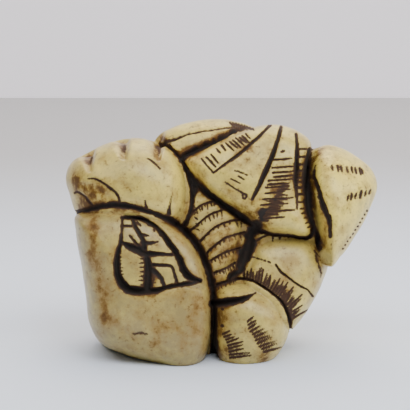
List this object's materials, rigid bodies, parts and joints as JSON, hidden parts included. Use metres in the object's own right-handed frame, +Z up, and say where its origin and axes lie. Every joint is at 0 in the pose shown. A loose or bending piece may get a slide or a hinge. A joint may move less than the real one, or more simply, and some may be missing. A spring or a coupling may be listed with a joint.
{
  "type": "netsuke",
  "caption": "Small carved ivory netsuke of folded robe forms, a block-like sleeve with an open mouth, a pleated fan, a hood and a round knee, standing on a flat foot.",
  "frame": {"origin": "centre of the bounding box at the plane the foot stands on", "axes": "+Z up, the carved front faces -Y, the sleeve's open mouth on the -X side"},
  "size_m": [0.0436, 0.0242, 0.0317],
  "materials": {
    "stained_ivory": "polished ivory, cream with honey patina and dark stain in the cuts"
  },
  "bodies": {
    "root": {"carved_netsuke": "stained_ivory"}
  },
  "joints": []
}
